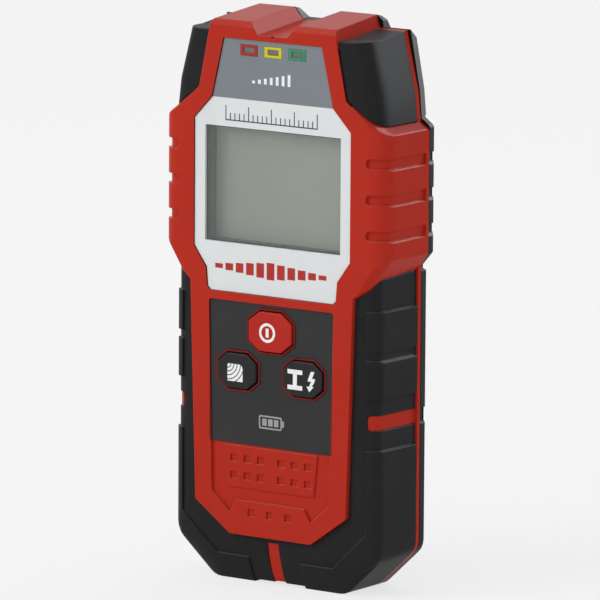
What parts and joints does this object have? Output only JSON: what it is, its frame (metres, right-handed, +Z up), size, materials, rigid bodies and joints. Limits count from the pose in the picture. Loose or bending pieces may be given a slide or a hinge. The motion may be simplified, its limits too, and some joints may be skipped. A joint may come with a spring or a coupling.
{
  "type": "stud finder",
  "caption": "Hand-held stud finder with a two-part case, soft grips, a display, indicator lights, press keys and a hinged battery door.",
  "frame": {"origin": "middle of the foot, at the lowest level, half way through the depth", "axes": "+Z up the case to the horns, front face towards -Y, +X to the right as seen from the front"},
  "size_m": [0.07, 0.0272, 0.1478],
  "materials": {
    "red_plastic": "satin moulded plastic",
    "black_rubber": "fine matt grain",
    "black_plastic": "fine matt grain",
    "label": "satin print",
    "clear_window": "clear",
    "light_red": "printed frame",
    "light_yellow": "printed frame",
    "light_green": "printed frame",
    "key_panel": "fine matt grain",
    "key_red": "satin",
    "key_black": "satin",
    "carbon": "matt",
    "silicone": "matt",
    "dark_frame": "matt",
    "display": "grey green",
    "diffuser": "milky",
    "elastomer": "striped",
    "board": "solder mask",
    "chip": "matt",
    "component": "satin",
    "cream_plastic": "satin",
    "copper": "bare metal",
    "battery_jacket": "satin",
    "steel": "plated",
    "lead_red": "smooth",
    "lead_black": "smooth"
  },
  "bodies": {
    "case": {"front_shell": "red_plastic", "rear_shell": "black_plastic", "upper_grip_left": "black_rubber", "upper_grip_right": "black_rubber", "lower_grip": "black_rubber", "label_panel": "label", "display_window": "clear_window", "led_window_red": "light_red", "led_window_yellow": "light_yellow", "led_window_green": "light_green", "keypad_overlay": "key_panel", "keypad_mat": "silicone", "lcd_frame": "dark_frame", "lcd_glass": "display", "lcd_backlight": "diffuser", "lcd_connectors": "elastomer", "main_board": "board", "controller_chip": "chip", "board_parts": "component", "buzzer": "chip", "board_header": "cream_plastic", "led_red": "light_red", "led_yellow": "light_yellow", "led_green": "light_green", "sensor_board": "board", "sensor_plates": "copper", "coil_former": "dark_frame", "search_coil": "copper", "battery": "battery_jacket", "battery_terminals": "steel", "contact_block": "black_plastic", "contact_plates": "steel", "lead_positive": "lead_red", "lead_negative": "lead_black", "housing_screws": "steel", "board_screws": "steel"},
    "power_key": {"power_button": "key_red", "power_pill": "carbon"},
    "stud_key": {"stud_button": "key_black", "stud_pill": "carbon"},
    "metal_key": {"metal_button": "key_black", "metal_pill": "carbon"},
    "door": {"battery_door": "black_plastic"}
  },
  "joints": [
    {"name": "power_press", "type": "slide", "parent": "case", "child": "power_key", "axis": [0, 1, 0], "range_m": [0, 0.0008], "stiffness_N_per_m": 1500},
    {"name": "stud_press", "type": "slide", "parent": "case", "child": "stud_key", "axis": [0, 1, 0], "range_m": [0, 0.0008], "stiffness_N_per_m": 1500},
    {"name": "metal_press", "type": "slide", "parent": "case", "child": "metal_key", "axis": [0, 1, 0], "range_m": [0, 0.0008], "stiffness_N_per_m": 1500},
    {"name": "battery_door_swing", "type": "hinge", "parent": "case", "child": "door", "pos_m": [0, 0.0122, 0.04245], "axis": [1, 0, 0], "range_deg": [0, 85]}
  ]
}
